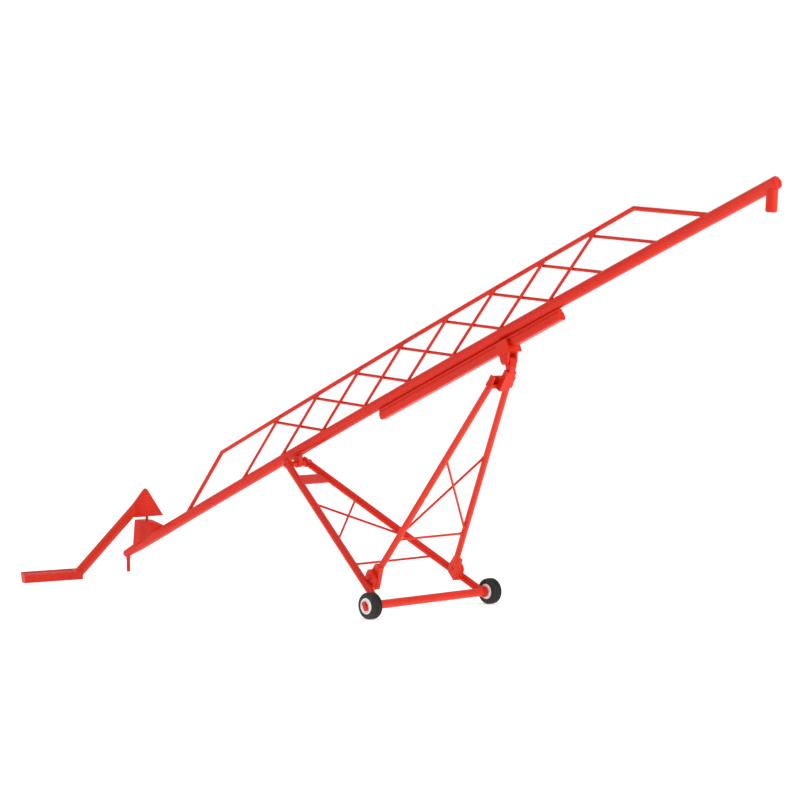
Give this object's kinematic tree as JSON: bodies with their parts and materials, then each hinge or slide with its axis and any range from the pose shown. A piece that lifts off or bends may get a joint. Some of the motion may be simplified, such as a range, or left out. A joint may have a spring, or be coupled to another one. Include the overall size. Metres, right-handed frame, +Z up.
{
  "type": "toy grain auger",
  "caption": "Toy portable grain auger: inclined tube with a lattice truss, wheeled folding undercarriage, sliding lift carriage, discharge spout and swing-away intake hopper.",
  "frame": {"origin": "centre of the hitch pin's foot, on the ground plane", "axes": "+X runs along the machine from the intake to the discharge end, +Y to the left seen from the intake end, +Z up"},
  "size_m": [0.4539, 0.1152, 0.1982],
  "materials": {
    "red_plastic": "moulded, satin gloss",
    "white_plastic": "moulded, satin gloss",
    "black_tyre": "satin moulded rubber"
  },
  "bodies": {
    "auger": {"main_tube": "red_plastic", "end_cap": "red_plastic", "discharge_spout": "red_plastic", "inlet_nose": "red_plastic", "inlet_box": "red_plastic", "hitch_pin": "red_plastic", "truss_chord": "red_plastic", "lower_end_bar": "red_plastic", "upper_end_bar": "red_plastic", "rising_braces": "red_plastic", "falling_braces": "red_plastic", "lift_rail": "red_plastic", "fold_lug": "red_plastic"},
    "lower_frame": {"left_leg": "red_plastic", "right_leg": "red_plastic", "fold_pin": "red_plastic", "leg_gusset": "red_plastic", "leg_cross_rods": "red_plastic", "leg_tie_bar": "red_plastic", "axle_tube": "red_plastic", "axle_hubs": "red_plastic", "stub_axles": "red_plastic", "left_foot_bracket": "red_plastic", "right_foot_bracket": "red_plastic", "foot_pins": "red_plastic"},
    "left_wheel": {"left_rim": "white_plastic", "left_tyre": "black_tyre"},
    "right_wheel": {"right_rim": "white_plastic", "right_tyre": "black_tyre"},
    "carriage_block": {"carriage": "red_plastic", "carriage_pin": "red_plastic"},
    "lift_frame": {"left_arm": "red_plastic", "right_arm": "red_plastic", "lift_head": "red_plastic", "arm_cross_rods": "red_plastic", "arm_tie_bar": "red_plastic"},
    "swing_hopper": {"hopper_head": "red_plastic", "swing_pin": "red_plastic", "hopper_tube": "red_plastic", "hopper_tray": "red_plastic"}
  },
  "joints": [
    {"name": "frame_fold", "type": "hinge", "parent": "auger", "child": "lower_frame", "pos_m": [0.1452, 0, 0.0661], "axis": [0, -1, 0], "range_deg": [-3, 8]},
    {"name": "carriage_slide", "type": "slide", "parent": "auger", "child": "carriage_block", "axis": [0.9268, 0, 0.3755], "range_m": [-0.00619, 0.01647]},
    {"name": "lift_fold", "type": "hinge", "parent": "lower_frame", "child": "lift_frame", "pos_m": [0.2312, 0, 0.0178], "axis": [0, -1, 0], "range_deg": [-13.16, 4.94]},
    {"name": "left_wheel_spin", "type": "hinge", "parent": "lower_frame", "child": "left_wheel", "pos_m": [0.2425, 0.0393, 0.00635], "axis": [0, 1, 0], "continuous": true},
    {"name": "right_wheel_spin", "type": "hinge", "parent": "lower_frame", "child": "right_wheel", "pos_m": [0.2425, -0.0393, 0.00635], "axis": [0, 1, 0], "continuous": true},
    {"name": "hopper_swing", "type": "hinge", "parent": "auger", "child": "swing_hopper", "pos_m": [0.0175, 0, 0.031], "axis": [0, 0, 1], "range_deg": [-155, 70]}
  ],
  "couplings": [
    {"joint": "carriage_slide", "follows": "frame_fold", "m_per_rad": 0.11784},
    {"joint": "lift_fold", "follows": "frame_fold", "ratio": -1.6437}
  ]
}
